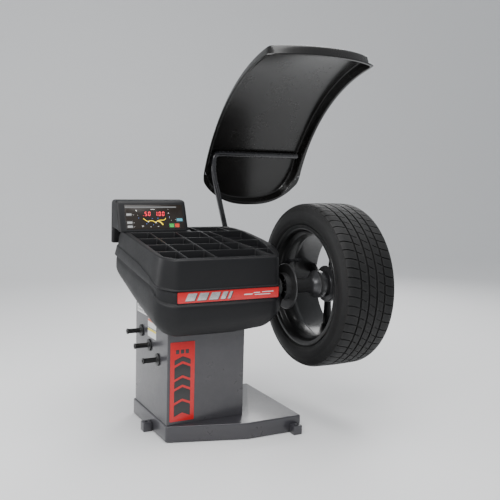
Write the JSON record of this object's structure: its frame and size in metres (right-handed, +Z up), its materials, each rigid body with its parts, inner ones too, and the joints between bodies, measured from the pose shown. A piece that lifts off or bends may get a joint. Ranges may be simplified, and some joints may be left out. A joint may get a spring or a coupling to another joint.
{
  "type": "wheel balancer machine",
  "caption": "Free-standing car wheel balancer with a weight tray, tilted display console, clamped road wheel and raised wheel guard.",
  "frame": {"origin": "on the floor under the middle of the whole machine's bounding box", "axes": "+X along the spindle from the machine towards the wheel, -Y towards the operator, +Z up"},
  "size_m": [1.035, 0.9908, 1.6647],
  "materials": {
    "gunmetal_paint": "satin gunmetal grey paint",
    "black_abs": "black textured ABS",
    "gloss_black": "glossy black plastic",
    "gloss_tube": "gloss black powder coat",
    "red_film": "red film, blank",
    "ground_steel": "ground steel",
    "black_steel": "black painted steel",
    "cast_iron": "as cast, machined seats",
    "alloy_black": "gloss black coated alloy",
    "tyre": "moulded rubber",
    "belt_rubber": "ribbed belt rubber",
    "motor_enamel": "enamel",
    "board_green": "green circuit board",
    "key_grey": "matt",
    "key_green": "matt",
    "key_red": "matt",
    "key_cyan": "matt"
  },
  "bodies": {
    "frame": {"base_plate": "gunmetal_paint", "anchor_foot_left": "gunmetal_paint", "anchor_foot_front": "gunmetal_paint", "anchor_foot_rear": "gunmetal_paint", "column_shell": "gunmetal_paint", "rear_panel": "gunmetal_paint", "power_inlet": "black_abs", "bed_plate": "black_steel", "force_sensor_inner": "ground_steel", "force_sensor_outer": "ground_steel", "spindle_housing": "cast_iron", "spindle_bearing_rear": "ground_steel", "spindle_bearing_front": "ground_steel", "spindle_cover_disc": "black_steel", "drive_belt": "belt_rubber", "drive_motor": "motor_enamel", "motor_shelf": "black_steel", "power_supply": "motor_enamel", "supply_shelf": "black_steel", "hood_upper": "black_abs", "hood_lower": "black_abs", "front_strip": "red_film", "column_badge": "red_film", "cone_peg_upper": "black_abs", "cone_peg_middle": "black_abs", "cone_peg_lower": "black_abs", "console_housing": "black_abs", "display_panel": "gloss_black", "display_board": "board_green", "guard_pivot_block": "black_steel", "guard_post": "black_steel", "guard_spring": "ground_steel", "gauge_guide": "black_steel"},
    "rotor": {"spindle_shaft": "ground_steel", "hub_flange": "black_steel", "centring_cone": "ground_steel", "driven_pulley": "ground_steel", "encoder_disc": "black_steel", "wheel_rim": "alloy_black", "wheel_tyre": "tyre"},
    "clamp": {"pressure_cup": "black_abs"},
    "nut": {"quick_nut": "black_abs"},
    "lever": {"release_lever": "gloss_black"},
    "motor_rotor": {"motor_pulley": "ground_steel"},
    "guard": {"guard_shell": "gloss_black", "guard_arm": "gloss_tube", "guard_pivot_shaft": "ground_steel"},
    "gauge_slider": {"gauge_rod": "ground_steel"},
    "gauge_swinger": {"gauge_arm": "black_abs"},
    "menu_key_upper_body": {"menu_key_upper": "key_grey"},
    "menu_key_middle_body": {"menu_key_middle": "key_grey"},
    "menu_key_lower_body": {"menu_key_lower": "key_grey"},
    "start_key_body": {"start_key": "key_green"},
    "stop_key_body": {"stop_key": "key_red"},
    "function_key_body": {"function_key": "key_cyan"},
    "switch_rocker": {"mains_switch": "black_abs"}
  },
  "joints": [
    {"name": "shaft_spin", "type": "hinge", "parent": "frame", "child": "rotor", "pos_m": [-0.4375, -0.1266, 0.628], "axis": [1, 0, 0], "continuous": true},
    {"name": "motor_spin", "type": "hinge", "parent": "frame", "child": "motor_rotor", "pos_m": [-0.4375, 0.1054, 0.582], "axis": [1, 0, 0], "continuous": true},
    {"name": "nut_slide", "type": "slide", "parent": "rotor", "child": "clamp", "axis": [1, 0, 0], "range_m": [0, 0.035]},
    {"name": "nut_turn", "type": "hinge", "parent": "clamp", "child": "nut", "pos_m": [0.4425, -0.1266, 0.628], "axis": [1, 0, 0], "continuous": true},
    {"name": "release_lever_press", "type": "hinge", "parent": "nut", "child": "lever", "pos_m": [0.4487, -0.1266, 0.673], "axis": [0, -1, 0], "range_deg": [0, 8], "stiffness_Nm_per_rad": 0.6, "springref_deg": -2.86},
    {"name": "guard_swing", "type": "hinge", "parent": "frame", "child": "guard", "pos_m": [0.0125, 0.4104, 0.83], "axis": [1, 0, 0], "range_deg": [0, 48]},
    {"name": "gauge_slide", "type": "slide", "parent": "frame", "child": "gauge_slider", "axis": [1, 0, 0], "range_m": [0, 0.14]},
    {"name": "gauge_swing", "type": "hinge", "parent": "gauge_slider", "child": "gauge_swinger", "pos_m": [0.1365, 0.0254, 0.668], "axis": [-1, 0, 0], "range_deg": [0, 36]},
    {"name": "switch_rock", "type": "hinge", "parent": "frame", "child": "switch_rocker", "pos_m": [-0.4375, 0.2518, 0.432], "axis": [1, 0, 0], "range_deg": [0, 14]},
    {"name": "menu_key_upper_press", "type": "slide", "parent": "frame", "child": "menu_key_upper_body", "axis": [0, 0.9361, -0.3518], "range_m": [0, 0.001], "stiffness_N_per_m": 1500, "springref_m": -0.0003},
    {"name": "menu_key_middle_press", "type": "slide", "parent": "frame", "child": "menu_key_middle_body", "axis": [0, 0.9361, -0.3518], "range_m": [0, 0.001], "stiffness_N_per_m": 1500, "springref_m": -0.0003},
    {"name": "menu_key_lower_press", "type": "slide", "parent": "frame", "child": "menu_key_lower_body", "axis": [0, 0.9361, -0.3518], "range_m": [0, 0.001], "stiffness_N_per_m": 1500, "springref_m": -0.0003},
    {"name": "start_key_press", "type": "slide", "parent": "frame", "child": "start_key_body", "axis": [0, 0.9361, -0.3518], "range_m": [0, 0.001], "stiffness_N_per_m": 1500, "springref_m": -0.0003},
    {"name": "stop_key_press", "type": "slide", "parent": "frame", "child": "stop_key_body", "axis": [0, 0.9361, -0.3518], "range_m": [0, 0.001], "stiffness_N_per_m": 1500, "springref_m": -0.0003},
    {"name": "function_key_press", "type": "slide", "parent": "frame", "child": "function_key_body", "axis": [0, 0.9361, -0.3518], "range_m": [0, 0.001], "stiffness_N_per_m": 1500, "springref_m": -0.0003}
  ],
  "couplings": [
    {"joint": "motor_spin", "follows": "shaft_spin", "ratio": 2}
  ]
}
